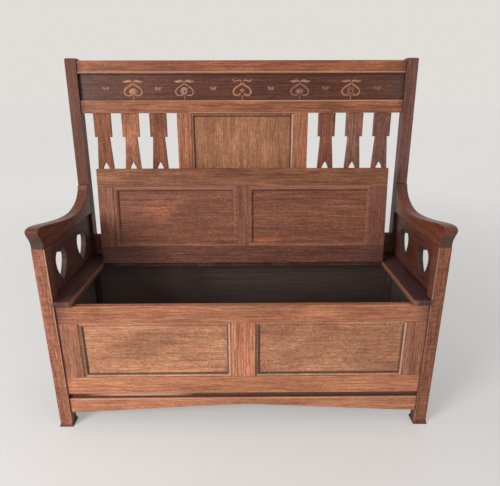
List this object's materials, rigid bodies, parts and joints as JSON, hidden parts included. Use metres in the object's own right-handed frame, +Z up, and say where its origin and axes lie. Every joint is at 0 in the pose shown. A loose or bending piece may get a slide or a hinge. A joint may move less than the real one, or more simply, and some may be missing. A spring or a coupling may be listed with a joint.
{
  "type": "settle bench",
  "caption": "Oak box settle: a bench seat with a hinged lid over a panelled storage box, shaped arms on square posts, and a leaning slatted and panelled back.",
  "frame": {"origin": "on the floor, below the middle of the whole bench", "axes": "+Z up, the front of the bench faces -Y, +X to the right of someone who looks at the front"},
  "size_m": [1.228, 0.4956, 1.166],
  "materials": {
    "oak_frame": "waxed orange-brown oak",
    "oak_panel": "waxed tan oak",
    "oak_pale": "waxed light oak",
    "oak_dark": "dark stained oak",
    "oak_arm": "dark red-brown oak, polished by use",
    "oak_lid": "red-brown oak, unpolished underside",
    "oak_inside": "bare darkened wood",
    "hinge_metal": "tarnished"
  },
  "bodies": {
    "carcase": {"front_post_right": "oak_frame", "front_post_left": "oak_frame", "rear_post_right": "oak_frame", "rear_post_left": "oak_frame", "arm_right": "oak_arm", "arm_left": "oak_arm", "end_board_right": "oak_arm", "end_board_left": "oak_arm", "front_stile_right": "oak_frame", "front_stile_left": "oak_frame", "front_top_rail": "oak_frame", "front_bottom_rail": "oak_frame", "front_muntin": "oak_frame", "front_panel_right": "oak_panel", "front_panel_left": "oak_panel", "apron": "oak_frame", "side_top_rail_right": "oak_frame", "side_top_rail_left": "oak_frame", "side_bottom_rail_right": "oak_frame", "side_bottom_rail_left": "oak_frame", "side_panel_right": "oak_panel", "side_panel_left": "oak_panel", "box_back_top_rail": "oak_frame", "box_back_bottom_rail": "oak_frame", "box_back_panel": "oak_inside", "box_floor": "oak_inside", "floor_cleat_front": "oak_inside", "floor_cleat_rear": "oak_inside", "seat_end_strip_right": "oak_frame", "seat_end_strip_left": "oak_frame", "hinge_strip": "oak_frame", "hinge_fixed_leaf_1": "hinge_metal", "hinge_fixed_leaf_2": "hinge_metal", "hinge_fixed_leaf_3": "hinge_metal", "hinge_fixed_leaf_4": "hinge_metal", "crest_rail": "oak_pale", "frieze_board": "oak_dark", "frieze_rail": "oak_pale", "back_bottom_rail": "oak_frame", "back_stile_right": "oak_frame", "back_stile_left": "oak_frame", "back_centre_panel": "oak_panel", "back_slat_1_right": "oak_panel", "back_slat_1_left": "oak_panel", "back_slat_2_right": "oak_panel", "back_slat_2_left": "oak_panel", "back_slat_3_right": "oak_panel", "back_slat_3_left": "oak_panel"},
    "lid": {"lid_stile_right": "oak_lid", "lid_stile_left": "oak_lid", "lid_front_rail": "oak_lid", "lid_rear_rail": "oak_lid", "lid_muntin": "oak_lid", "lid_panel_right": "oak_lid", "lid_panel_left": "oak_lid", "hinge_lid_leaf_1": "hinge_metal", "hinge_lid_leaf_2": "hinge_metal", "hinge_lid_leaf_3": "hinge_metal", "hinge_lid_leaf_4": "hinge_metal"}
  },
  "joints": [
    {"name": "lid_hinge", "type": "hinge", "parent": "carcase", "child": "lid", "pos_m": [0, 0.10123, 0.4586], "axis": [1, 0, 0], "range_deg": [0, 96.6]}
  ]
}
